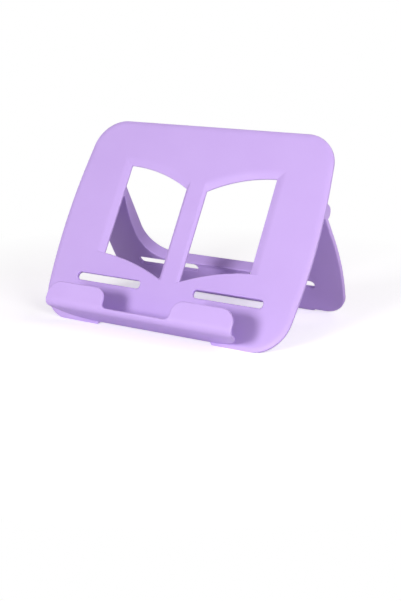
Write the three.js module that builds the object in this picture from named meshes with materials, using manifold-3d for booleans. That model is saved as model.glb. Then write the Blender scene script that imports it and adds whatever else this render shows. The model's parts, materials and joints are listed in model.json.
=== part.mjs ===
// Folding bookstand rack: a leaning back rest with a book ledge, held up by a rear leg that folds
// flat against its back on two hinge pins. Millimetres, +Z up, front towards -Y, shown open.
import * as THREE from "three";
import { mergeVertices } from "three/addons/utils/BufferGeometryUtils.js";
import Module from "manifold-3d";

const wasm = await Module();
wasm.setup();

// ---- Driving dimensions -------------------------------------------------------------------
// Stance
const panelLean = 32.5; // degrees that the open stand's panel leans back from upright
const legSlope = 27.8; // degrees that the open leg slopes forward from upright

// Front panel: across is x, up the panel is y, out of its front face is z
const panelHeight = 221.2;
const panelThickness = 4;
const panelFootHalf = 135.4; // half width where the side lines meet the bottom line
const panelWaistHalf = 146.4; // half width where the side lines meet each other
const panelTopHalf = 135; // half width where the side lines meet the top line
const panelWaistHeight = 105.8;
const panelSideShare = 0.626; // of the lower side line, taken up by the arc at the waist
const panelTopRadius = 34;
const panelFootRadius = 37;

// Recess between the panel's two feet
const recessRise = 2.5; // height of its roof over the floor
const recessHalf = 63; // half width of its roof
const recessSlope = 2.5; // run of its sloping ends

// Page-shaped windows
const barHalf = 11.5; // half of the bar between the windows
const windowOuter = 84;
const windowTopInner = 152.5;
const windowTopOuter = 172.1;
const windowFootInner = 56.1;
const windowFootOuter = 74.7;
const windowTopBow = 4.6; // rise of the page's curved top over its chord
const windowFootBow = 3.2;
const windowCorner = 1.5;

// Long slots, in the panel and in the leg
const slotInner = 30.5;
const slotOuter = 106.5;
const panelSlotTall = 9.8;
const panelSlotMiddle = 46.3; // up the panel
const legSlotTall = 9.6;
const legSlotMiddle = 35.9; // up the leg from the floor
const slotCorner = 4.6;

// Book ledge
const ledgeHalf = 104;
const ledgeReach = 42; // panel's front face to the front of the tabs
const ledgeThickness = 3;
const ledgeBendRadius = 7; // outside of the bend
const ledgeRootRadius = 39; // rounds the ledge's rear corners in plan
const lipHeight = 8.2; // top of the low lip, up the panel
const tabHeight = 27.5; // top of the page tabs, up the panel
const tabInner = 37.8; // inner sides of the tabs, where they are straight
const tabInnerRadius = 12;
const tabOuterRadius = 14.5;
const tabRootRadius = 5;

// Hinges: barrels of the panel and the leg, in turn, from the outside in
const hingeHeight = 147.8; // hinge axis, up the panel
const knuckleRadius = 7;
const knuckleGap = 0.4; // clearance between a barrel and the face it turns past
const barrelEnds = [140, 129.5, 118.7, 108]; // outer end of each barrel
const barrelGap = 0.35; // between neighbours
const pinRadius = 1.5;
const pinFit = 0.3; // radial gap between a pin and its bores
const pinRecess = 0.6; // how far the pin's inner end lies inside its bore
const pinFloor = 3; // wall left at the blind outer end of the bore

// Rear leg: across is x, up the leg is y from the hinge axis, towards the panel is z
const legThickness = 4.8;
const legHipHalf = 134.8; // half width at the shoulder under the outer barrel
const legWaistHalf = 141.3; // half width where the side lines meet each other
const legFootHalf = 134.5; // half width where the side lines meet the foot line
const legWaistShare = 0.5265; // height of the waist, of the side's own from foot to shoulder
const legSideShare = 0.4863; // of the lower side line, taken up by the arc at the waist
const legFootRadius = 25;
const shoulderGap = 1.4; // between the shoulder and the barrels over it
const footPadHalf = 98.5;
const footPadRise = 1.4; // the leg's bottom edge beside the foot pad lies this much higher

// U cut-out of the leg and the flange round it
const crossbarTall = 52.1; // top of the foot crossbar, up the leg from the floor
const cutoutFootHalf = 88.8; // half width where the sides meet the crossbar line
const cutoutTopHalf = 92.2; // half width at the hinge axis, where the last barrel ends
const cutoutRadius = 34;
const flangeThickness = 2.5;
const flangeRamp = 32; // below the hinge axis, where the flange's front edge reaches full depth
const flangeRampRadius = 100;

// Stop
const stopGap = 0.3; // between the heel of the leg and the panel's back when open
const heelRadius = 4; // rounds the heel's rear edge

// ---- Values worked out from them ----------------------------------------------------------
const lean = THREE.MathUtils.degToRad(panelLean);
const slope = THREE.MathUtils.degToRad(legSlope);
const axisDepth = panelThickness + knuckleGap + knuckleRadius; // hinge axis behind the front face
const axisY = hingeHeight * Math.sin(lean) + axisDepth * Math.cos(lean);
const axisZ = hingeHeight * Math.cos(lean) - axisDepth * Math.sin(lean);
const legBack = -knuckleRadius; // z of the leg's flat back face
const legFront = legBack + legThickness;
const shoulder = -knuckleRadius - shoulderGap; // y of the leg's shoulder
const flangeFront = knuckleRadius + knuckleGap - stopGap; // meets the panel's back when folded
const floorDrop = (z) => (axisZ - z * Math.sin(slope)) / Math.cos(slope); // axis to floor at z
const footLine = -floorDrop(legFront); // y of the floor at the leg's front face
const spare = 2; // extra length of a cutting solid past the face it cuts
const arcError = 0.05; // widest gap between an arc and its chords
const arcTurn = Math.PI / 12; // widest turn of one chord
const far = 2 * panelHeight; // reaches past the whole stand
const seam = 1; // how far a piece of a solid sinks into the piece it joins

// ---- Outlines -----------------------------------------------------------------------------
const point = (x, y) => new THREE.Vector2(x, y);

// Points of an arc, with as many chords as its radius needs.
function arc(x, y, radius, from, to) {
  const widest = Math.min(arcTurn, 2 * Math.acos(1 - arcError / radius));
  const steps = Math.max(2, Math.ceil(Math.abs(to - from) / widest));
  return Array.from({ length: steps + 1 }, (_, i) => {
    const angle = from + ((to - from) * i) / steps;
    return point(x + radius * Math.cos(angle), y + radius * Math.sin(angle));
  });
}

// A closed outline through corners given as [x, y] or [x, y, radius].
function rounded(corners) {
  return corners.flatMap(([x, y, radius], i) => {
    const here = point(x, y);
    if (!radius) return [here];
    const before = corners.at(i - 1);
    const after = corners[(i + 1) % corners.length];
    const back = point(before[0], before[1]).sub(here).normalize();
    const on = point(after[0], after[1]).sub(here).normalize();
    const half = Math.acos(THREE.MathUtils.clamp(back.dot(on), -1, 1)) / 2;
    const centre = back.clone().add(on).normalize().multiplyScalar(radius / Math.sin(half));
    centre.add(here);
    const start = back.multiplyScalar(radius / Math.tan(half)).add(here).sub(centre);
    const end = on.multiplyScalar(radius / Math.tan(half)).add(here).sub(centre);
    const turn = Math.atan2(start.cross(end), start.dot(end));
    const from = Math.atan2(start.y, start.x);
    return arc(centre.x, centre.y, radius, from, from + turn);
  });
}

// The radius of the arc that rounds the middle one of three points and takes up a share of the
// line that leads to it.
function shareRadius([x0, y0], [x1, y1], [x2, y2], share) {
  const line = point(x1 - x0, y1 - y0);
  const next = point(x2 - x1, y2 - y1);
  return (share * line.length()) / Math.tan(line.angleTo(next) / 2);
}

// Points of an arc between two ends that bows to the left of the way it runs.
function bowed([x0, y0], [x1, y1], bow) {
  const chord = Math.hypot(x1 - x0, y1 - y0);
  const radius = (chord * chord) / 8 / bow + bow / 2;
  const left = Math.atan2(y1 - y0, x1 - x0) + Math.PI / 2;
  const reach = Math.asin(chord / 2 / radius);
  const x = (x0 + x1) / 2 - (radius - bow) * Math.cos(left);
  const y = (y0 + y1) / 2 - (radius - bow) * Math.sin(left);
  return arc(x, y, radius, left + reach, left - reach);
}

const mirrored = (corners) => corners.map(([x, ...rest]) => [-x, ...rest]).reverse();
const bothSides = (corners) => [...corners, ...mirrored(corners)];

// ---- Solids -------------------------------------------------------------------------------
function solidOf(geometry) {
  geometry.deleteAttribute("normal");
  geometry.deleteAttribute("uv");
  const merged = mergeVertices(geometry, 1e-4);
  return new wasm.Manifold(
    new wasm.Mesh({
      numProp: 3,
      vertProperties: merged.attributes.position.array,
      triVerts: new Uint32Array(merged.index.array),
    }),
  );
}

function geometryOf(solid) {
  const mesh = solid.getMesh();
  const geometry = new THREE.BufferGeometry();
  geometry.setAttribute("position", new THREE.BufferAttribute(mesh.vertProperties, 3));
  geometry.setIndex(new THREE.BufferAttribute(mesh.triVerts, 1));
  const faceted = geometry.toNonIndexed();
  faceted.computeVertexNormals();
  return faceted;
}

// A prism of an outline in x and y, from one z to another.
function plateOf(points, from, to) {
  const shape = new THREE.Shape(points);
  const geometry = new THREE.ExtrudeGeometry(shape, { depth: to - from, bevelEnabled: false });
  return solidOf(geometry.translate(0, 0, from));
}

// A prism of a section in z and y, from one x to another.
function barOf(points, from, to) {
  const shape = new THREE.Shape(points.map(({ x, y }) => point(-x, y)));
  const geometry = new THREE.ExtrudeGeometry(shape, { depth: to - from, bevelEnabled: false });
  geometry.translate(0, 0, from).rotateY(Math.PI / 2);
  return solidOf(geometry);
}

// A prism of a plan in x and z, from one y to another.
function slabOf(points, from, to) {
  const shape = new THREE.Shape(points.map(({ x, y }) => point(x, -y)));
  const geometry = new THREE.ExtrudeGeometry(shape, { depth: to - from, bevelEnabled: false });
  geometry.translate(0, 0, from).rotateX(-Math.PI / 2);
  return solidOf(geometry);
}

// A round bar along x about the line through y and z.
const rodOf = (radius, y, z, from, to) => barOf(arc(z, y, radius, 0, 2 * Math.PI).slice(1), from, to);

const boxOf = (x0, x1, y0, y1, z0, z1) =>
  plateOf([point(x0, y0), point(x1, y0), point(x1, y1), point(x0, y1)], z0, z1);

// The space under the floor, with a trapezoid recess over it, in a frame turned about x whose
// origin lies at a height over the floor.
function underFloor(turn, height, roofHalf, rise) {
  const half = roofHalf + recessSlope;
  const profile = bothSides([
    [roofHalf, rise],
    [half, 0],
    [far, 0],
    [far, -far],
  ]);
  const shape = new THREE.Shape(profile.map(([x, y]) => point(x, y - height)).reverse());
  const geometry = new THREE.ExtrudeGeometry(shape, { depth: 2 * far, bevelEnabled: false });
  return solidOf(geometry.translate(0, 0, -far).rotateX(Math.PI / 2 - turn));
}

// A span along x and its mirror image, as [from, to] pairs.
const spans = (from, to) => [
  [from, to],
  [-to, -from],
];

// The barrels' spans, turn about: the panel's are the first and third from the outside.
const barrelSpan = (i) => spans((barrelEnds[i + 1] ?? cutoutTopHalf - barrelGap) + barrelGap, barrelEnds[i]);
const panelBarrels = [0, 2].flatMap(barrelSpan);
const legBarrels = [1, 3].flatMap(barrelSpan);
const boreEnd = barrelEnds[0] - pinFloor;
const boreSpans = spans(cutoutTopHalf - spare, boreEnd);

// ---- Front panel --------------------------------------------------------------------------
const panelTurn = Math.PI / 2 - lean;

function slotOutline(middle, tall) {
  const [low, high] = [middle - tall / 2, middle + tall / 2];
  return rounded([
    [slotInner, low, slotCorner],
    [slotOuter, low, slotCorner],
    [slotOuter, high, slotCorner],
    [slotInner, high, slotCorner],
  ]);
}

const flipped = (points) => points.map(({ x, y }) => point(-x, y)).reverse();

// A solid less prisms of an outline and of its mirror image.
function pierced(solid, outline, from, to) {
  return [outline, flipped(outline)].reduce((s, o) => s.subtract(plateOf(o, from, to)), solid);
}

function panelOutline() {
  const foot = [panelFootHalf, 0, panelFootRadius];
  const waist = [panelWaistHalf, panelWaistHeight];
  const top = [panelTopHalf, panelHeight, panelTopRadius];
  return rounded(bothSides([foot, [...waist, shareRadius(foot, waist, top, panelSideShare)], top]));
}

function windowOutline() {
  const foot = bowed([barHalf, windowFootInner], [windowOuter, windowFootOuter], windowFootBow);
  const top = bowed([barHalf, windowTopInner], [windowOuter, windowTopOuter], windowTopBow);
  const cornered = (points) =>
    points.map(({ x, y }, i) => [x, y, i % (points.length - 1) ? 0 : windowCorner]);
  return rounded([...cornered(foot), ...cornered(top.reverse())]);
}

// The ledge's section bends up at the front; a front view and a plan then trim its ends.
function ledge() {
  const under = recessRise / Math.cos(lean);
  const bendY = under + ledgeBendRadius;
  const bendZ = ledgeReach - ledgeBendRadius;
  const section = [
    point(-seam, under),
    ...arc(bendZ, bendY, ledgeBendRadius, -Math.PI / 2, 0),
    point(ledgeReach, tabHeight),
    point(ledgeReach - ledgeThickness, tabHeight),
    ...arc(bendZ, bendY, ledgeBendRadius - ledgeThickness, 0, -Math.PI / 2),
    point(-seam, under + ledgeThickness),
  ];
  const front = rounded(
    bothSides([
      [ledgeHalf, 0],
      [ledgeHalf, tabHeight, tabOuterRadius],
      [tabInner, tabHeight, tabInnerRadius],
      [tabInner, lipHeight, tabRootRadius],
    ]),
  );
  const rootHalf = ledgeHalf - ledgeRootRadius - seam;
  const plan = rounded(
    bothSides([
      [ledgeHalf, ledgeReach + spare],
      [ledgeHalf, 0, ledgeRootRadius],
      [rootHalf, 0],
      [rootHalf, -seam],
    ]),
  );
  return barOf(section, -ledgeHalf, ledgeHalf)
    .intersect(plateOf(front, -spare, ledgeReach + spare))
    .intersect(slabOf(plan, 0, tabHeight + spare));
}

// A barrel of the panel with the web that joins it to the panel's back.
function panelBarrel(from, to) {
  const [low, high] = [hingeHeight - knuckleRadius, hingeHeight + knuckleRadius];
  const web = boxOf(from, to, low, high, -axisDepth, seam - panelThickness);
  return rodOf(knuckleRadius, hingeHeight, -axisDepth, from, to).add(web);
}

function frontPanel() {
  const [back, front] = [-panelThickness - spare, spare];
  let panel = plateOf(panelOutline(), -panelThickness, 0);
  panel = pierced(panel, windowOutline(), back, front);
  panel = pierced(panel, slotOutline(panelSlotMiddle, panelSlotTall), back, front);
  panel = panel.add(ledge());
  for (const span of panelBarrels) panel = panel.add(panelBarrel(...span));
  for (const span of boreSpans)
    panel = panel.subtract(rodOf(pinRadius + pinFit, hingeHeight, -axisDepth, ...span));
  return panel.subtract(underFloor(panelTurn, 0, recessHalf, recessRise));
}

// ---- Rear leg -----------------------------------------------------------------------------
const legTurn = Math.PI / 2 + slope;

function legOutline() {
  const foot = [legFootHalf, footLine + footPadRise, legFootRadius];
  const hip = [legHipHalf, shoulder];
  const waist = [legWaistHalf, THREE.MathUtils.lerp(foot[1], hip[1], legWaistShare)];
  return rounded(bothSides([foot, [...waist, shareRadius(foot, waist, hip, legSideShare)], hip]));
}

// The U cut-out, grown by an offset, with its top square.
function cutoutOutline(offset, top) {
  const low = footLine + crossbarTall;
  const flare = (cutoutFootHalf - cutoutTopHalf) / low;
  const half = (y) => cutoutFootHalf + flare * (y - low) + offset * Math.hypot(1, flare);
  return rounded(
    bothSides([
      [half(low - offset), low - offset, cutoutRadius + offset],
      [half(top), top],
    ]),
  );
}

// A barrel of the leg and the plate behind it, whose top lies along the panel's back when the
// stand is open, so that the leg stops there.
function legBarrel(from, to) {
  const open = lean + slope;
  const heel = (z) => (flangeFront - z * Math.cos(open)) / Math.sin(open);
  const section = rounded([
    [legBack, shoulder - seam],
    [legFront, shoulder - seam],
    [legFront, 0],
    [0, 0],
    [0, heel(0)],
    [legBack, heel(legBack), heelRadius],
  ]);
  return rodOf(knuckleRadius, 0, 0, from, to).add(barOf(section, from, to));
}

function rearLeg() {
  const pad = boxOf(-footPadHalf, footPadHalf, -far, footLine + footPadRise + seam, legBack, legFront);
  const ramp = rounded([
    [legBack, 0],
    [legBack, -far],
    [flangeFront, -far],
    [flangeFront, -flangeRamp, flangeRampRadius],
    [0, 0],
  ]);
  const flange = plateOf(cutoutOutline(flangeThickness, 0), legBack, flangeFront).intersect(
    barOf(ramp, -legWaistHalf, legWaistHalf),
  );
  let leg = plateOf(legOutline(), legBack, legFront).add(pad).add(flange);
  leg = leg.subtract(plateOf(cutoutOutline(0, spare), legBack - spare, flangeFront + spare));
  const slot = slotOutline(footLine + legSlotMiddle, legSlotTall);
  leg = pierced(leg, slot, legBack - spare, legFront + spare);
  for (const span of legBarrels) leg = leg.add(legBarrel(...span));
  for (const span of boreSpans) leg = leg.subtract(rodOf(pinRadius + pinFit, 0, 0, ...span));
  return leg.subtract(underFloor(legTurn, axisZ, 0, 0));
}

// ---- The stand ----------------------------------------------------------------------------
const lilac = { color: 0xd0b0f5, roughness: 0.45, metalness: 0 };
const steel = { color: 0xb8babd, roughness: 0.3, metalness: 1 };

function piece(name, solid, finish) {
  const mesh = new THREE.Mesh(geometryOf(solid), new THREE.MeshStandardMaterial(finish));
  mesh.name = name;
  return mesh;
}

const panel = new THREE.Group();
panel.rotation.x = panelTurn;
panel.add(piece("front_panel", frontPanel(), lilac));

const leg = new THREE.Group();
leg.rotation.x = legTurn;
leg.add(piece("rear_leg", rearLeg(), lilac));

const hinge = new THREE.Group();
hinge.position.set(0, axisY, axisZ);
hinge.add(leg);
spans(cutoutTopHalf + pinRecess, boreEnd - pinFit).forEach((span, i) =>
  hinge.add(piece(["hinge_pin_right", "hinge_pin_left"][i], rodOf(pinRadius, 0, 0, ...span), steel)),
);

const stand = new THREE.Group();
stand.add(panel, hinge);
const box = new THREE.Box3().setFromObject(stand, true);
stand.position.y = -(box.min.y + box.max.y) / 2; // the origin lies under the middle of the stand

const bookstand = new THREE.Group();
bookstand.add(stand);

export default bookstand;
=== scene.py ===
"""Folding bookstand rack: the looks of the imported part.

Lengths are metres, or millimetres where MM turns them. +Z is up and the front faces -Y.
"""

import json
import math

import bmesh
import bpy
import mathutils.geometry
import mathutils.kdtree
from mathutils import Matrix, Vector


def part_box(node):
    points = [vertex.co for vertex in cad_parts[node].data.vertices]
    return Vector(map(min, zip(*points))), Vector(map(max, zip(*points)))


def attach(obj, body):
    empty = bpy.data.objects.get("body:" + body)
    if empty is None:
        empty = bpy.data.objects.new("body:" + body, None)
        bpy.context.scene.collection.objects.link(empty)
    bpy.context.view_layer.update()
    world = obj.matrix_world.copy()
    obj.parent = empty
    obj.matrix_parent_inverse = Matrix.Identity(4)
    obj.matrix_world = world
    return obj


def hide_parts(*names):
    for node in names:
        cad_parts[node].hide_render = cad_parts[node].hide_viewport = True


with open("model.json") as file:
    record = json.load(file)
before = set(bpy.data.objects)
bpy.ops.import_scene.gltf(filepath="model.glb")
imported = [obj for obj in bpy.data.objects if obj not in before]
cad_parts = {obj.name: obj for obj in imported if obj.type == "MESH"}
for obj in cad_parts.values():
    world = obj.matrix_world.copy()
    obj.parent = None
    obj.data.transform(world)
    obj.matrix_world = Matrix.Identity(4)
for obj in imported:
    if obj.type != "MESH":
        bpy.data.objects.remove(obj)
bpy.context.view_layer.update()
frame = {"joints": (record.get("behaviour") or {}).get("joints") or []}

MM = 0.001

# ---- Camera --------------------------------------------------------------------------------
PHOTO_TALL = 601
FOCAL_PIXELS = 1091.74
SENSOR = 36
AZIMUTH, ELEVATION, DISTANCE = math.radians(30.9), math.radians(15.9), 1.085
AIM = Vector((18.36, -3.64, 22.0))  # millimetres
camera_data = bpy.data.cameras.new("photo_camera")
camera_data.sensor_width = SENSOR
camera_data.lens = FOCAL_PIXELS * SENSOR / PHOTO_TALL
camera_data.clip_start, camera_data.clip_end = 0.05, 20
camera = bpy.data.objects.new("photo_camera", camera_data)
bpy.context.scene.collection.objects.link(camera)
bpy.context.scene.camera = camera
look = Vector(
    (
        -math.sin(AZIMUTH) * math.cos(ELEVATION),
        math.cos(AZIMUTH) * math.cos(ELEVATION),
        -math.sin(ELEVATION),
    )
)
camera.location = AIM * MM - look * DISTANCE
camera.rotation_euler = look.to_track_quat("-Z", "Y").to_euler()


# ---- Shader maths --------------------------------------------------------------------------
class Signal:
    """A node socket that takes part in Python expressions on plain values."""

    def __init__(self, tree, socket):
        self.tree, self.socket = tree, socket

    def math(self, operation, *others):
        made = add_node(self.tree, "ShaderNodeMath", operation=operation)
        for slot, value in zip(made.inputs, (self, *others)):
            feed(self.tree, slot, value)
        return Signal(self.tree, made.outputs[0])

    def __add__(self, other):
        return self.math("ADD", other)

    def __sub__(self, other):
        return self.math("SUBTRACT", other)

    def __rsub__(self, other):
        made = add_node(self.tree, "ShaderNodeMath", {0: other, 1: self}, operation="SUBTRACT")
        return Signal(self.tree, made.outputs[0])

    def __mul__(self, other):
        return self.math("MULTIPLY", other)

    __radd__, __rmul__ = __add__, __mul__


def feed(tree, slot, value):
    if isinstance(value, Signal):
        tree.links.new(value.socket, slot)
    else:
        slot.default_value = value


def add_node(tree, kind, values=None, **settings):
    made = tree.nodes.new(kind)
    for name, value in settings.items():
        setattr(made, name, value)
    for name, value in (values or {}).items():
        feed(tree, made.inputs[name], value)
    return made


def new_material(name):
    material = bpy.data.materials.new(name)
    material.use_nodes = True
    tree = material.node_tree
    tree.nodes.clear()
    output = tree.nodes.new("ShaderNodeOutputMaterial")
    return material, tree, output


def linear(red, green, blue):
    """An sRGB colour, 0 to 255, as the linear colour that a socket takes."""
    parts = [c / 255 for c in (red, green, blue)]
    return (*[c / 12.92 if c <= 0.04045 else ((c + 0.055) / 1.055) ** 2.4 for c in parts], 1)


def noise(tree, place, scale, detail):
    values = {"Vector": place, "Scale": scale, "Detail": detail}
    return Signal(tree, add_node(tree, "ShaderNodeTexNoise", values).outputs["Fac"])


def bumped(tree, height, strength, depth):
    values = {"Height": height, "Strength": strength, "Distance": depth}
    return Signal(tree, add_node(tree, "ShaderNodeBump", values).outputs["Normal"])


def mixed(tree, share, first, second):
    """The colour that lies a share of the way from the first to the second."""
    made = add_node(tree, "ShaderNodeMix", {"Factor": share}, data_type="RGBA")
    made.inputs[6].default_value, made.inputs[7].default_value = first, second
    return Signal(tree, made.outputs[2])


def moulded_plastic():
    material, tree, output = new_material("satin_lilac_plastic")
    place = Signal(tree, add_node(tree, "ShaderNodeTexCoord").outputs["Object"])
    clouds = noise(tree, place, 22, 3)
    grains = noise(tree, place, 2600, 2)
    shader = add_node(
        tree,
        "ShaderNodeBsdfPrincipled",
        {
            "Base Color": mixed(tree, clouds, linear(204, 174, 240), linear(210, 182, 245)),
            "Roughness": 0.42 + clouds * 0.08,
            "Normal": bumped(tree, grains, 0.025, 0.0001),
            "IOR": 1.46,
        },
    )
    tree.links.new(shader.outputs[0], output.inputs[0])
    return material


def brushed_steel():
    material, tree, output = new_material("brushed_steel")
    place = Signal(tree, add_node(tree, "ShaderNodeTexCoord").outputs["Object"])
    stretch = add_node(tree, "ShaderNodeMapping", {"Vector": place, "Scale": (900, 9000, 9000)})
    streaks = noise(tree, Signal(tree, stretch.outputs[0]), 1, 2)
    shader = add_node(
        tree,
        "ShaderNodeBsdfPrincipled",
        {
            "Base Color": linear(190, 192, 196),
            "Metallic": 1.0,
            "Roughness": 0.24 + streaks * 0.16,
            "Normal": bumped(tree, streaks, 0.1, 0.00005),
        },
    )
    tree.links.new(shader.outputs[0], output.inputs[0])
    return material


plastic = moulded_plastic()
steel = brushed_steel()


# ---- Outlines, in millimetres ---------------------------------------------------------------
# A loop is a closed list of (x, y) that has the plastic on its left: an outside runs
# anticlockwise and a hole clockwise.
ARC_TURN = math.radians(5)
ARC_ERROR = 0.01
LONGEST = 6.0  # longest straight stretch between two points of a loop
SHARP = math.radians(20)


def arc(centre, radius, start, turn):
    """Points of an arc that begins at an angle and turns by another."""
    step = min(ARC_TURN * 2, 2 * math.acos(1 - ARC_ERROR / radius))
    step = max(step, ARC_TURN if radius < 5 else math.radians(1))
    count = max(3, math.ceil(abs(turn) / step))
    return [
        (
            centre[0] + radius * math.cos(start + turn * i / count),
            centre[1] + radius * math.sin(start + turn * i / count),
        )
        for i in range(count + 1)
    ]


def rounded(corners):
    """A loop through corners given as (x, y) or (x, y, radius)."""
    loop = []
    for i, (x, y, *rest) in enumerate(corners):
        if not rest:
            loop.append((x, y))
            continue
        radius = rest[0]
        here = Vector((x, y))
        back = (Vector(corners[i - 1][:2]) - here).normalized()
        ahead = (Vector(corners[(i + 1) % len(corners)][:2]) - here).normalized()
        half = back.angle(ahead) / 2
        centre = here + (back + ahead).normalized() * (radius / math.sin(half))
        first = here + back * (radius / math.tan(half)) - centre
        last = here + ahead * (radius / math.tan(half)) - centre
        start = math.atan2(first.y, first.x)
        turn = math.atan2(first.x * last.y - first.y * last.x, first.dot(last))
        loop += arc(centre, radius, start, turn)
    return loop


def bowed(first, last, bow):
    """Points of an arc between two ends that bows to the left of the way it runs."""
    a, b = Vector(first), Vector(last)
    chord = (b - a).length
    radius = chord * chord / 8 / bow + bow / 2
    left = Vector((a.y - b.y, b.x - a.x)).normalized()
    centre = (a + b) / 2 - left * (radius - bow)
    reach = math.asin(chord / 2 / radius)
    return arc(centre, radius, math.atan2(left.y, left.x) + reach, -2 * reach)


def mirrored(corners):
    return [(-x, *rest) for x, *rest in reversed(corners)]


def both_sides(corners):
    return [*corners, *mirrored(corners)]


def share_radius(before, here, after, share):
    """The radius of the arc at here that takes up a share of the line that leads to it."""
    line, onward = Vector(here) - Vector(before), Vector(after) - Vector(here)
    return share * line.length / math.tan(line.angle(onward) / 2)


def filled(loop, longest=LONGEST, clear=0.0):
    """The loop with points added along its straight stretches, clear of its sharp corners."""
    dense = []
    count = len(loop)
    ways = [(Vector(loop[(i + 1) % count]) - Vector(loop[i])) for i in range(count)]
    for i in range(count):
        start, way = Vector(loop[i]), ways[i]
        dense.append(tuple(start))
        if way.length < longest:
            continue
        head = clear if way.angle(ways[i - 1], 0) > SHARP else 0
        tail = clear if way.angle(ways[(i + 1) % count], 0) > SHARP else 0
        room = way.length - head - tail
        if room <= 0:
            continue
        parts = max(1, math.ceil(room / longest))
        first, last = (0 if head else 1), (parts if tail else parts - 1)
        for k in range(first, last + 1):
            dense.append(tuple(start + way.normalized() * (head + room * k / parts)))
    return dense


def inward(loop):
    """For each point, the mitred step into the plastic that moves its two edges by 1."""
    steps = []
    for i, p in enumerate(loop):
        before = (Vector(p) - Vector(loop[i - 1])).normalized()
        after = (Vector(loop[(i + 1) % len(loop)]) - Vector(p)).normalized()
        a, b = Vector((-before.y, before.x)), Vector((-after.y, after.x))
        steps.append((a + b) / max(0.2, 1 + a.dot(b)))
    return steps


# ---- Skins ----------------------------------------------------------------------------------
# A wall's profile is a list of (inset, z) from the front face round its edges to the back face.
HOLD = 0.4  # a flat margin inside each rounding, which keeps the shading of the face flat


FRONT_ROWS = 6  # rows of a wall's profile, at its usual steps, that belong to its front rounding


def wall(front, back, front_radius, back_radius, steps=4):
    """The profile of a plain wall with a rounding at each end."""
    turns = [math.pi / 2 * i / steps for i in range(steps + 1)]
    head = [
        (front_radius * (1 - math.sin(t)), front - front_radius * (1 - math.cos(t))) for t in turns
    ]
    foot = [
        (back_radius * (1 - math.cos(t)), back + back_radius * (1 - math.sin(t))) for t in turns
    ]
    return [(front_radius + HOLD, front), *head, *foot, (back_radius + HOLD, back)]


def soft_wall(front, back, width, drop, radius, back_radius):
    """A wall whose face first rolls off softly over a width, and then turns its edge."""
    shares = (1, 0.85, 0.7, 0.55, 0.4, 0.25, 0.12)
    roll = [(radius + (width - radius) * f, front - drop * (1 - f) ** 2.2) for f in shares]
    return [(width + HOLD, front), *roll, *wall(front - drop, back, radius, back_radius)[1:]]


def column_at(point, step, profile):
    """The points down a wall at one point of its loop."""
    x, y = point
    return [Vector((x + step.x * inset, y + step.y * inset, z)) for inset, z in profile]


def plain_rings(loop, profile):
    steps = inward(loop)
    return [
        [Vector((p[0] + s.x * inset, p[1] + s.y * inset, z)) for p, s in zip(loop, steps)]
        for inset, z in profile
    ]


def inside(point, loop):
    x, y = point
    odd = False
    for (x0, y0), (x1, y1) in zip(loop, [*loop[1:], loop[0]]):
        if (y0 > y) != (y1 > y) and x < (x1 - x0) * (y - y0) / (y1 - y0) + x0:
            odd = not odd
    return odd


def cap(skin, rings, z, pitch, up):
    """Closes a face between rings of vertices: the first is its outside, the others holes."""
    flat, edges, owners = [], [], []
    for ring in rings:
        first = len(flat)
        flat += [v.co.to_2d() for v in ring]
        owners += ring
        edges += [(first + i, first + (i + 1) % len(ring)) for i in range(len(ring))]
    loops = [[tuple(v.co.to_2d()) for v in ring] for ring in rings]
    if pitch:
        lows = [min(c[k] for c in flat) for k in (0, 1)]
        highs = [max(c[k] for c in flat) for k in (0, 1)]
        near = mathutils.kdtree.KDTree(len(flat))
        for i, c in enumerate(flat):
            near.insert((*c, 0), i)
        near.balance()
        columns = int((highs[0] - lows[0]) / pitch[0])
        rows = int((highs[1] - lows[1]) / pitch[1])
        for row in range(rows + 1):
            for column in range(columns + 1):
                across = lows[0] + (column + 0.5 * (row % 2)) * pitch[0]
                c = Vector((across, lows[1] + row * pitch[1]))
                if near.find((*c, 0))[2] < min(pitch) * 0.6:
                    continue
                if inside(c, loops[0]) and not any(inside(c, hole) for hole in loops[1:]):
                    flat.append(c)
                    owners.append(skin.verts.new((*c, z)))
    made = mathutils.geometry.delaunay_2d_cdt(flat, edges, [], 1, 1e-5)
    points, faces, origins = made[0], made[2], made[3]
    for face in faces:
        middle = sum((points[i] for i in face), Vector((0, 0))) / 3
        if not inside(middle, loops[0]) or any(inside(middle, hole) for hole in loops[1:]):
            continue
        corners = [owners[origins[i][0]] for i in face]
        skin.faces.new(corners if up else corners[::-1])


def skinned(sets, pitch=None):
    """A closed skin: sets holds, for each loop, its rings from the front face to the back."""
    skin = bmesh.new()
    fronts, backs = [], []
    for rings in sets:
        rows = [[skin.verts.new(p) for p in ring] for ring in rings]
        for upper, lower in zip(rows, rows[1:]):
            for i in range(len(upper)):
                j = (i + 1) % len(upper)
                skin.faces.new((upper[j], upper[i], lower[i], lower[j]))
        fronts.append(rows[0])
        backs.append(rows[-1])
    cap(skin, fronts, sets[0][0][0].z, pitch, True)
    cap(skin, backs, sets[0][-1][0].z, pitch, False)
    return skin


# ---- The moulded pieces ---------------------------------------------------------------------
LEAN, SLOPE = math.radians(32.5), math.radians(27.8)
PLATE, LEG_PLATE = 4.0, 4.8
KNUCKLE = 7.0
LEG_BACK = -KNUCKLE
LEG_FRONT = LEG_BACK + LEG_PLATE
SHOULDER = -8.4
FLANGE_FRONT = 7.1
HINGE_UP, HINGE_BEHIND = 147.8, 11.4  # hinge axis in the panel's frame
BARREL_ENDS = (140.0, 129.5, 118.7, 108.0)
BARREL_GAP = 0.35
BARREL_ROOT = 1.5  # fillet where a barrel meets its plate
BARREL_SUNK = 2.5  # how deep a panel barrel reaches into the plate
CUTOUT_TOP = 92.2
BORE, BORE_END = 1.8, 137.0
AXIS = Vector(frame["joints"][0]["pos_m"]) / MM

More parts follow.
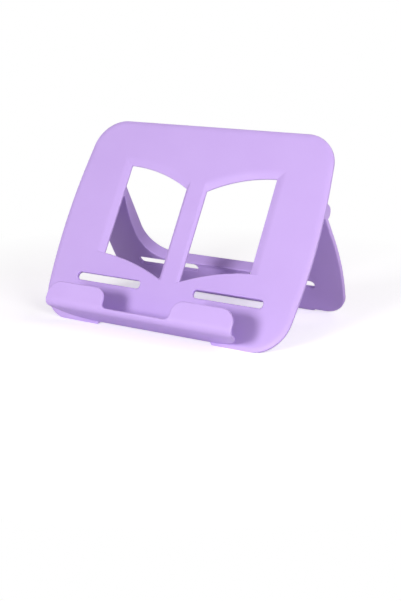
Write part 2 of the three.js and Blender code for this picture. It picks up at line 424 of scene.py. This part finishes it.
panel_turn = Matrix.Rotation(math.pi / 2 - LEAN, 4, "X")
hinge_in_panel = panel_turn @ Vector((0, HINGE_UP, -HINGE_BEHIND))
panel_place = Matrix.Translation(AXIS - hinge_in_panel) @ panel_turn
leg_place = Matrix.Translation(AXIS) @ Matrix.Rotation(math.pi / 2 + SLOPE, 4, "X")


def solid(name, skin, shape):
    """An object from a skin, reshaped point by point."""
    bmesh.ops.remove_doubles(skin, verts=skin.verts, dist=1e-4)
    for v in skin.verts:
        v.co = shape(v.co.copy())
    bmesh.ops.recalc_face_normals(skin, faces=skin.faces)
    if skin.calc_volume(signed=True) < 0:
        bmesh.ops.reverse_faces(skin, faces=skin.faces)
    data = bpy.data.meshes.new(name)
    skin.to_mesh(data)
    skin.free()
    made = bpy.data.objects.new(name, data)
    bpy.context.scene.collection.objects.link(made)
    return made


def combined(body, others, operation):
    """The body with others joined to it or cut from it."""
    for other in others:
        step = body.modifiers.new("join", "BOOLEAN")
        step.operation, step.object, step.solver = operation, other, "MANIFOLD"
    graph = bpy.context.evaluated_depsgraph_get()
    data = bpy.data.meshes.new_from_object(body.evaluated_get(graph))
    body.modifiers.clear()
    old, body.data = body.data, data
    data.name = body.name
    bpy.data.meshes.remove(old)
    for other in others:
        bpy.data.objects.remove(other)
    return body


def spans(first, last):
    return (first, last), (-last, -first)


# -- Front panel
PANEL_TALL = 221.2
RECESS = 2.5 / math.cos(LEAN)  # up the panel, for 2.5 mm over the floor
NOTCH_IN, NOTCH_OUT = 63.0, 65.5  # where the recess ends in a short slope to the foot


def panel_loop():
    foot, waist, top = (135.4, 0, 37), (146.4, 105.8), (135, PANEL_TALL, 34)
    side = share_radius(foot[:2], waist, top[:2], 0.626)
    notch = [(NOTCH_IN, RECESS), (NOTCH_OUT, 0)]
    return filled(rounded(both_sides([*notch, foot, (*waist, side), top])), 4, 7)


WINDOW_DIP = 1.8
WINDOW_SHOULDER = 0.5  # share of the roll that turns, before it runs straight to the edge
WINDOW_RIM = 0.5
WINDOW_CORNER = 1.0
CORNER_KEPT = 0.15  # share of a corner's rounding that is left at its shoulder
BAR_SIDE, TOP_SIDE, OUTER_SIDE, FOOT_SIDE = 3.6, 10.0, 10.0, 1.0


def window_dip(along):
    """How deep the roll lies at a share of its width from its shoulder."""
    a = WINDOW_SHOULDER
    curve = along**2 / 2 / a if along < a else along - a / 2
    return WINDOW_DIP * curve / (1 - a / 2)


def left_of(p, q):
    """The unit step to the left of the way from p to q."""
    along = (Vector(q) - Vector(p)).normalized()
    return Vector((-along.y, along.x))


def corner_step(n0, n1, w0, w1):
    """The step from a corner to where its sides, moved by w0 and w1 along n0 and n1, meet."""
    dot = n0.dot(n1)
    x = (w0 - w1 * dot) / (1 - dot * dot)
    y = (w1 - w0 * dot) / (1 - dot * dot)
    return n0 * x + n1 * y


def window_rings(flip):
    """A page-shaped window whose sides roll in from the face, each over its own width."""
    a, b, c, d = (11.5, 56.1), (11.5, 152.5), (84, 172.1), (84, 74.7)
    sides = [
        ([a, b], BAR_SIDE),
        (bowed(b, c, 4.6), TOP_SIDE),
        ([c, d], OUTER_SIDE),
        (list(reversed(bowed(a, d, 3.2))), FOOT_SIDE),
    ]
    clear = 1.5 * WINDOW_CORNER
    rows = []  # point, target at width, target with the hold, width
    for k, (points, width) in enumerate(sides):
        before = sides[k - 1]
        points = filled_line(points, 4)
        corner, far_end = Vector(points[0]), Vector(points[-1])
        n0, n1 = left_of(before[0][-2], before[0][-1]), left_of(points[0], points[1])
        back, ahead = Vector((-n0.y, n0.x)), Vector((n1.y, -n1.x))
        rounding = rounded(
            [tuple(corner + back * 9), (*corner, WINDOW_CORNER), tuple(corner + ahead * 9)]
        )[1:-1]
        shoulder = corner + corner_step(n0, n1, before[1], width)
        held = corner + corner_step(n0, n1, before[1] + HOLD, width + HOLD)
        for i, p in enumerate(rounding):
            t = i / (len(rounding) - 1)
            kept = (Vector(p) - corner) * CORNER_KEPT
            w = before[1] * (1 - t) + width * t
            rows.append((Vector(p), shoulder + kept, held + kept, w))
        for i, p in enumerate(points[1:-1], 1):
            spot = Vector(p)
            if (spot - corner).length < clear or (spot - far_end).length < clear:
                continue
            n = (left_of(points[i - 1], p) + left_of(p, points[i + 1])).normalized()
            rows.append((spot, spot + n * width, spot + n * (width + HOLD), width))
    steps = inward([tuple(r[0]) for r in rows])
    rings = [[(*r[2], 0.0) for r in rows]]
    for f in (1, 0.9, 0.8, 0.7, 0.6, 0.5, 0.4, 0.2):
        ring = []
        for (p, target, _, w), s in zip(rows, steps):
            rim = p + s * WINDOW_RIM
            ring.append((*rim.lerp(target, f), -window_dip((1 - f) * (w - WINDOW_RIM) / w)))
        rings.append(ring)
    for t in (0, 30, 60, 90):
        t = math.radians(t)
        ring = []
        for (p, target, _, w), s in zip(rows, steps):
            dip = window_dip((w - WINDOW_RIM) / w)
            deep = -dip - WINDOW_RIM * (1 - math.cos(t))
            ring.append((*(p + s * WINDOW_RIM * (1 - math.sin(t))), deep))
        rings.append(ring)
    back = wall(0, -PLATE, 0.5, 0.6)[FRONT_ROWS:]
    for inset, z in back:
        rings.append([(*(r[0] + s * inset), z) for r, s in zip(rows, steps)])
    rings = [[Vector(p) for p in ring] for ring in rings]
    if flip:
        rings = [[Vector((-p.x, p.y, p.z)) for p in reversed(ring)] for ring in rings]
    return rings


def filled_line(points, longest):
    dense = []
    for a, b in zip(points, points[1:]):
        a, b = Vector(a), Vector(b)
        count = max(1, math.ceil((b - a).length / longest))
        dense += [tuple(a.lerp(b, i / count)) for i in range(count)]
    return [*dense, tuple(points[-1])]


SLOT_INNER, SLOT_OUTER, SLOT_CORNER = 30.5, 106.5, 4.6


def slot_loop(middle, tall, flip):
    low, high = middle - tall / 2, middle + tall / 2
    corner = min(SLOT_CORNER, tall / 2 - 0.1)
    corners = [
        (SLOT_INNER, low, corner),
        (SLOT_OUTER, low, corner),
        (SLOT_OUTER, high, corner),
        (SLOT_INNER, high, corner),
    ]
    loop = filled(rounded(corners))
    return [(-x, y) for x, y in loop] if flip else loop[::-1]


def slot_rings(flip):
    """A long slot whose lower side rolls in softly from the face."""
    low, high, rim, roll, drop = 43.2, 51.2, 0.8, 3.0, 1.6
    middle = (low + high) / 2
    loop = slot_loop(middle, high - low, flip)
    edge = wall(0, -PLATE, rim, 0.5)
    columns = []
    for p, step in zip(loop, inward(loop)):
        share = min(1, max(0, (middle - p[1]) / (middle - low)))
        share = share * share * (3 - 2 * share)
        wide, deep = rim + (roll - rim) * share, rim + (drop - rim) * share
        profile = []
        for inset, z in edge[:FRONT_ROWS]:
            moved = wide * (inset - HOLD) / rim + HOLD if inset > rim else wide * inset / rim
            profile.append((moved, deep * z / rim))
        profile += edge[FRONT_ROWS:]
        columns.append(column_at(p, step, profile))
    return [list(ring) for ring in zip(*columns)]


def foot_floor(co):
    """Keeps the panel's foot over the floor, and its recess 2.5 mm over it."""
    if co.z <= 0:
        rise = RECESS * min(1, max(0, (NOTCH_OUT - abs(co.x)) / (NOTCH_OUT - NOTCH_IN)))
        co.y = max(co.y, rise - co.z * math.tan(LEAN))
    return co


LEDGE_HALF, LEDGE_REACH, LEDGE_THICK = 104.0, 42.0, 3.0
LEDGE_CORNER = 39.0
LIP_UP, TAB_UP, TAB_INNER = 8.2, 27.5, 37.8
BEND = 7.0
BEND_START = LEDGE_REACH - BEND
BEND_MIDDLE = BEND - LEDGE_THICK / 2
BEND_RUN = BEND_MIDDLE * math.pi / 2


def rolled(co):
    """Takes the flat ledge, x across and y out along it, to its bent form on the panel."""
    x, along, up = co
    if along < BEND_START:
        return foot_floor(Vector((x, RECESS + up, along)))
    turn = min((along - BEND_START) / BEND_MIDDLE, math.pi / 2)
    rest = max(0, along - BEND_START - BEND_RUN)
    radius = BEND - up
    out = BEND_START + radius * math.sin(turn)
    return Vector((x, RECESS + BEND - radius * math.cos(turn) + rest, out))


def ledge():
    lip, tab = [BEND_START + BEND_RUN + up - RECESS - BEND for up in (LIP_UP, TAB_UP)]
    root = LEDGE_HALF - LEDGE_CORNER - 1
    corners = [
        (root, -2),
        (root, -0.6),
        (LEDGE_HALF, -0.6, LEDGE_CORNER),
        (LEDGE_HALF, tab, 14.5),
        (TAB_INNER, tab, 12),
        (TAB_INNER, lip, 5),
    ]
    loop = filled(rounded(both_sides(corners)), 1.2, 2.5)
    skin = skinned([plain_rings(loop, wall(LEDGE_THICK, 0, 1.3, 1.3))], (3, 1.2))
    return solid("ledge", skin, rolled)


def extruded(name, section, first, last, radius=0.45):
    """A bar along x, from first to last, of a section given as (z, y)."""
    loop = filled([(-z, y) for z, y in section], 3)
    twice_area = sum(a[0] * b[1] - a[1] * b[0] for a, b in zip(loop, [*loop[1:], loop[0]]))
    loop = loop if twice_area > 0 else loop[::-1]
    skin = skinned([plain_rings(loop, wall(last, first, radius, radius, 3))])
    return solid(name, skin, lambda co: Vector((co.z, co.y, -co.x)))


def rod(radius, y, z, first, last):
    return extruded("rod", arc((z, y), radius, 0, 2 * math.pi)[:-1], first, last, 0.02)


def bores(y, z):
    """The pins' blind bores, open at the inner ends."""
    return [rod(BORE, y, z, *span) for span in spans(CUTOUT_TOP - 2, BORE_END)]


def panel_barrel(first, last):
    up, out, root, quarter = HINGE_UP, -HINGE_BEHIND, BARREL_ROOT, math.pi / 2
    high, low = up + KNUCKLE, up - KNUCKLE
    section = [
        (-PLATE + BARREL_SUNK, high + root),
        *arc((-PLATE - root, high + root), root, 0, -quarter),
        *arc((out, up), KNUCKLE, quarter, 2 * quarter),
        *arc((-PLATE - root, low - root), root, quarter, -quarter),
        (-PLATE + BARREL_SUNK, low - root),
    ]
    return extruded("barrel", section, first, last)


def front_panel():
    sets = [plain_rings(panel_loop(), soft_wall(0, -PLATE, 6.0, 0.8, 0.8, 0.6))]
    sets += [window_rings(False), window_rings(True), slot_rings(False), slot_rings(True)]
    panel = solid("front_panel_moulding", skinned(sets, (4, 4)), foot_floor)
    barrels = []
    for i, end in ((0, BARREL_ENDS[0]), (2, BARREL_ENDS[2])):
        for span in spans(BARREL_ENDS[i + 1] + BARREL_GAP, end):
            barrels.append(panel_barrel(*span))
    combined(panel, [ledge(), *barrels], "UNION")
    combined(panel, bores(HINGE_UP, -HINGE_BEHIND), "DIFFERENCE")
    panel.data.transform(Matrix.Scale(MM, 4) @ panel_place)
    return panel


# -- Rear leg
FOOT_LINE = -(AXIS.z - LEG_FRONT * math.sin(SLOPE)) / math.cos(SLOPE)
FLANGE, FLANGE_ROOT, FLANGE_LIP = 2.5, 1.5, 0.9
FLANGE_RAMP, FLANGE_RAMP_RADIUS = 32.0, 100.0
CUTOUT_LOW = FOOT_LINE + 52.1
CUTOUT_FOOT = 88.8
PAD_RISE = 1.4  # the leg's foot pad stands this far below the corners
LEG_SLOT, LEG_SLOT_TALL = FOOT_LINE + 35.9, 9.6
TOUCH = 0.01


def cutout_half(y):
    return CUTOUT_FOOT + (CUTOUT_TOP - CUTOUT_FOOT) * (y - CUTOUT_LOW) / -CUTOUT_LOW


def flange_top(y):
    """How far forward the flange reaches: it ramps back to the hinge axis."""
    turn = math.atan2(FLANGE_FRONT, FLANGE_RAMP)
    run = FLANGE_RAMP_RADIUS * math.tan(turn / 2)
    full = -FLANGE_RAMP - run
    if y <= full:
        return FLANGE_FRONT
    if y >= -FLANGE_RAMP + run * math.cos(turn):
        return -y * FLANGE_FRONT / FLANGE_RAMP
    return FLANGE_FRONT - FLANGE_RAMP_RADIUS + math.sqrt(FLANGE_RAMP_RADIUS**2 - (y - full) ** 2)


def leg_rings():
    """The leg's outside and its U cut-out are one loop. Along the cut-out a flange stands up."""
    foot, hip = (134.5, FOOT_LINE + PAD_RISE, 25), (134.8, SHOULDER)
    waist = (141.3, foot[1] + (hip[1] - foot[1]) * 0.5265)
    side = share_radius(foot[:2], waist, hip, 0.4863)
    right = [
        (98.5, FOOT_LINE),
        (98.5, FOOT_LINE + PAD_RISE),
        foot,
        (*waist, side),
        hip,
        (cutout_half(SHOULDER), SHOULDER),
        (CUTOUT_FOOT, CUTOUT_LOW, 34),
    ]
    loop = filled(rounded(both_sides(right)), 3, 6)
    edge = 1.2
    back = wall(LEG_FRONT, LEG_BACK, edge, 0.9)
    quarter = [math.pi / 8 * i for i in range(5)]
    flat = FLANGE + FLANGE_ROOT + HOLD
    plain = [(flat + (edge + HOLD - flat) * i / 10, LEG_FRONT) for i in range(11)]
    plain += back[1:]
    columns = []
    for (x, y), step in zip(loop, inward(loop)):
        raised = CUTOUT_LOW - TOUCH < y < SHOULDER + TOUCH
        if raised and abs(x) < cutout_half(y) + TOUCH:
            top = flange_top(y)
            profile = [(flat, LEG_FRONT)]
            for t in quarter:
                wide, tall = 1 - math.sin(t), 1 - math.cos(t)
                profile.append((FLANGE + FLANGE_ROOT * wide, LEG_FRONT + FLANGE_ROOT * tall))
            for t in quarter:
                wide, tall = 1 - math.cos(t), 1 - math.sin(t)
                profile.append((FLANGE - FLANGE_LIP * wide, top - FLANGE_LIP * tall))
            for t in quarter:
                wide, tall = 1 - math.sin(t), 1 - math.cos(t)
                profile.append((FLANGE_LIP * wide, top - FLANGE_LIP * tall))
            profile += back[FRONT_ROWS:]
        else:
            profile = plain
        columns.append(column_at((x, y), step, profile))
    return [list(ring) for ring in zip(*columns)]


def leg_floor(co):
    """Cuts the foot pad flat to the floor, with a short run-in at its top."""
    top, run_in = FOOT_LINE + 1.3, 0.6
    if co.y < top:
        co.y -= (LEG_FRONT - co.z) * math.tan(SLOPE) * min(1, (top - co.y) / run_in)
    return co


def leg_barrel(first, last):
    open_angle = LEAN + SLOPE
    heel = [
        (FLANGE_FRONT - z * math.cos(open_angle)) / math.sin(open_angle) for z in (LEG_BACK, 0)
    ]
    root = BARREL_ROOT
    nook = Vector((LEG_FRONT + root, -math.sqrt((KNUCKLE + root) ** 2 - (LEG_FRONT + root) ** 2)))
    turn = math.atan2(nook.y, nook.x)
    heel_corner = rounded([(LEG_BACK, 0), (LEG_BACK, heel[0], 4), (0, heel[1])])[1:-1]
    section = [
        (LEG_BACK, SHOULDER - 1),
        *heel_corner,
        (0, heel[1]),
        *arc((0, 0), KNUCKLE, math.pi / 2, turn - math.pi / 2),
        *arc(nook, root, turn + math.pi, -turn)[1:],
        (LEG_FRONT, SHOULDER - 1),
    ]
    return extruded("barrel", section, first, last)


def rear_leg():
    sets = [leg_rings()]
    for flip in (False, True):
        loop = slot_loop(LEG_SLOT, LEG_SLOT_TALL, flip)
        sets.append(plain_rings(loop, wall(LEG_FRONT, LEG_BACK, 0.8, 0.5)))
    leg = solid("rear_leg_moulding", skinned(sets, (4, 4)), leg_floor)
    joined = []
    for i in (1, 3):
        inner = BARREL_ENDS[i + 1] + BARREL_GAP if i == 1 else CUTOUT_TOP
        joined += [leg_barrel(*span) for span in spans(inner, BARREL_ENDS[i])]
    low = SHOULDER - 1
    gusset = [(LEG_BACK, low), (LEG_BACK, 0), (0, 0), (flange_top(low), low)]
    joined += [extruded("gusset", gusset, *span) for span in spans(CUTOUT_TOP, CUTOUT_TOP + FLANGE)]
    combined(leg, joined, "UNION")
    combined(leg, bores(0, 0), "DIFFERENCE")
    leg.data.transform(Matrix.Scale(MM, 4) @ leg_place)
    return leg


def finished(piece, node, body):
    for face in piece.data.polygons:
        face.use_smooth = True
    piece.data.set_sharp_from_angle(angle=math.radians(40))
    piece.data.materials.clear()
    piece.data.materials.append(plastic)
    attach(piece, body)
    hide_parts(node)


finished(front_panel(), "front_panel", "panel")
finished(rear_leg(), "rear_leg", "leg")


# -- Hinge pins
PIN_RADIUS, PIN_CHAMFER, PIN_ROUND = 1.5, 0.4, 48


def pin_tree():
    """A turned pin along X with chamfered ends, from its section as inputs."""
    tree = bpy.data.node_groups.new("turned_pin", "GeometryNodeTree")
    sockets = tree.interface
    for name in ("First", "Last", "Radius", "Chamfer", "Up", "Back"):
        sockets.new_socket(name, in_out="INPUT", socket_type="NodeSocketFloat")
    sockets.new_socket("Geometry", in_out="OUTPUT", socket_type="NodeSocketGeometry")
    source, sink = add_node(tree, "NodeGroupInput"), add_node(tree, "NodeGroupOutput")
    ports = [Signal(tree, port) for port in list(source.outputs)[:6]]
    first, last, radius, chamfer, up, back = ports
    line = add_node(tree, "GeometryNodeMeshLine", {"Count": 6}, mode="OFFSET")
    index = Signal(tree, add_node(tree, "GeometryNodeInputIndex").outputs[0])
    length = last - first
    # Six rings: centre, chamfer's rim and full radius, and the same in reverse at the far end.
    far = index.math("GREATER_THAN", 2.5)
    ring = index - far * 3 + far * (2 - (index - far * 3) * 2)
    inner = ring.math("GREATER_THAN", 1.5)
    edge = ring.math("GREATER_THAN", 0.5)
    along = first + far * length + (1 - far * 2) * inner * chamfer
    size = edge * (radius - chamfer) + inner * chamfer + (1 - edge) * 0.00001
    spot = add_node(tree, "ShaderNodeCombineXYZ", {"X": along})
    moved = add_node(
        tree,
        "GeometryNodeSetPosition",
        {"Geometry": Signal(tree, line.outputs[0]), "Position": Signal(tree, spot.outputs[0])},
    )
    path = add_node(tree, "GeometryNodeMeshToCurve", {"Mesh": Signal(tree, moved.outputs[0])})
    circle = add_node(
        tree, "GeometryNodeCurvePrimitiveCircle", {"Resolution": PIN_ROUND, "Radius": 1.0}
    )
    skin = add_node(
        tree,
        "GeometryNodeCurveToMesh",
        {
            "Curve": Signal(tree, path.outputs[0]),
            "Profile Curve": Signal(tree, circle.outputs[0]),
            "Scale": size,
            "Fill Caps": True,
        },
    )
    place = add_node(tree, "ShaderNodeCombineXYZ", {"Y": back, "Z": up})
    put = add_node(
        tree,
        "GeometryNodeTransform",
        {"Geometry": Signal(tree, skin.outputs[0]), "Translation": Signal(tree, place.outputs[0])},
    )
    real = add_node(
        tree, "GeometryNodeRealizeInstances", {"Geometry": Signal(tree, put.outputs[0])}
    )
    coat = add_node(
        tree,
        "GeometryNodeSetMaterial",
        {"Geometry": Signal(tree, real.outputs[0]), "Material": steel},
    )
    tree.links.new(coat.outputs[0], sink.inputs[0])
    return tree


def hinge_pin(node, tree):
    """The steel pin that stands for a node, made where the node lies."""
    low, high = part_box(node)
    body = bpy.data.objects.new(node + "_turned", bpy.data.meshes.new(node + "_turned"))
    bpy.context.scene.collection.objects.link(body)
    step = body.modifiers.new("turned", "NODES")
    step.node_group = tree
    sizes = {
        "First": low[0],
        "Last": high[0],
        "Radius": PIN_RADIUS * MM,
        "Chamfer": PIN_CHAMFER * MM,
        "Up": (low[2] + high[2]) / 2,
        "Back": (low[1] + high[1]) / 2,
    }
    for item in tree.interface.items_tree:
        if item.in_out == "INPUT":
            step[item.identifier] = sizes[item.name]
    graph = bpy.context.evaluated_depsgraph_get()
    data = bpy.data.meshes.new_from_object(body.evaluated_get(graph))
    body.modifiers.clear()
    body.data = data
    mend = bmesh.new()
    mend.from_mesh(data)
    bmesh.ops.remove_doubles(mend, verts=mend.verts, dist=2e-5)
    bmesh.ops.recalc_face_normals(mend, faces=mend.faces)
    mend.to_mesh(data)
    mend.free()
    for face in data.polygons:
        face.use_smooth = True
    data.set_sharp_from_angle(angle=math.radians(30))
    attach(body, "panel")
    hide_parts(node)


turned = pin_tree()
for node in ("hinge_pin_right", "hinge_pin_left"):
    hinge_pin(node, turned)

# ---- Floor and light -----------------------------------------------------------------------
FLOOR_HALF = 4
floor_mesh = bpy.data.meshes.new("floor")
floor_mesh.from_pydata(
    [(x * FLOOR_HALF, y * FLOOR_HALF, 0) for x, y in ((-1, -1), (1, -1), (1, 1), (-1, 1))],
    [],
    [(0, 1, 2, 3)],
)
floor = bpy.data.objects.new("floor", floor_mesh)
bpy.context.scene.collection.objects.link(floor)
# To the camera the floor fades to plain white away from the stand, as the backdrop is.
FADE_FROM, FADE_TO = 0.2, 0.45
material, tree, output = new_material("white_floor")
path = add_node(tree, "ShaderNodeLightPath")
camera_ray = Signal(tree, path.outputs["Is Camera Ray"])
place = add_node(tree, "ShaderNodeTexCoord").outputs["Object"]
reach = add_node(tree, "ShaderNodeVectorMath", {0: Signal(tree, place)}, operation="LENGTH")
far = add_node(
    tree,
    "ShaderNodeMapRange",
    {
        "Value": Signal(tree, reach.outputs["Value"]),
        "From Min": FADE_FROM,
        "From Max": FADE_TO,
    },
)
diffuse = add_node(tree, "ShaderNodeBsdfDiffuse", {"Color": (0.85, 0.84, 0.86, 1)})
glow = add_node(tree, "ShaderNodeEmission", {"Color": (1, 1, 1, 1), "Strength": camera_ray * 0.5})
white = add_node(tree, "ShaderNodeEmission", {"Color": (1, 1, 1, 1), "Strength": 1})
both = add_node(tree, "ShaderNodeAddShader")
tree.links.new(diffuse.outputs[0], both.inputs[0])
tree.links.new(glow.outputs[0], both.inputs[1])
blend = add_node(tree, "ShaderNodeMixShader", {0: camera_ray * Signal(tree, far.outputs[0])})
tree.links.new(both.outputs[0], blend.inputs[1])
tree.links.new(white.outputs[0], blend.inputs[2])
tree.links.new(blend.outputs[0], output.inputs[0])
floor_mesh.materials.append(material)

world = bpy.data.worlds.new("studio")
bpy.context.scene.world = world
world.use_nodes = True
tree = world.node_tree
tree.nodes.clear()
path = add_node(tree, "ShaderNodeLightPath")
seen = Signal(tree, path.outputs["Is Camera Ray"])
AMBIENT, AMBIENT_TINT = 0.22, (1.04, 0.96, 1.02, 1)
background = add_node(
    tree,
    "ShaderNodeBackground",
    {
        "Color": mixed(tree, seen, AMBIENT_TINT, (1, 1, 1, 1)),
        "Strength": seen * (1 - AMBIENT) + AMBIENT,
    },
)
world_out = tree.nodes.new("ShaderNodeOutputWorld")
tree.links.new(background.outputs[0], world_out.inputs[0])


LAMP_AIM = Vector((0, 0, 0.09))


def softbox(name, azimuth, elevation, distance, size, power):
    """A round lamp aimed at the stand. Azimuth 0 is straight in front, and 90 is its right."""
    a, e = math.radians(azimuth), math.radians(elevation)
    way = Vector((math.sin(a) * math.cos(e), -math.cos(a) * math.cos(e), math.sin(e)))
    data = bpy.data.lights.new(name, "AREA")
    data.shape, data.size, data.energy = "DISK", size, power
    made = bpy.data.objects.new(name, data)
    made.location = LAMP_AIM + way * distance
    made.rotation_euler = (-way).to_track_quat("-Z", "Y").to_euler()
    bpy.context.scene.collection.objects.link(made)


softbox("key_lamp", -4, 16, 1.5, 0.42, 13)
softbox("side_lamp", 75, 27, 1.1, 0.8, 5.5)
softbox("rear_lamp", 168, 32, 1.6, 1.0, 3)

bpy.context.scene.view_settings.view_transform = "Standard"
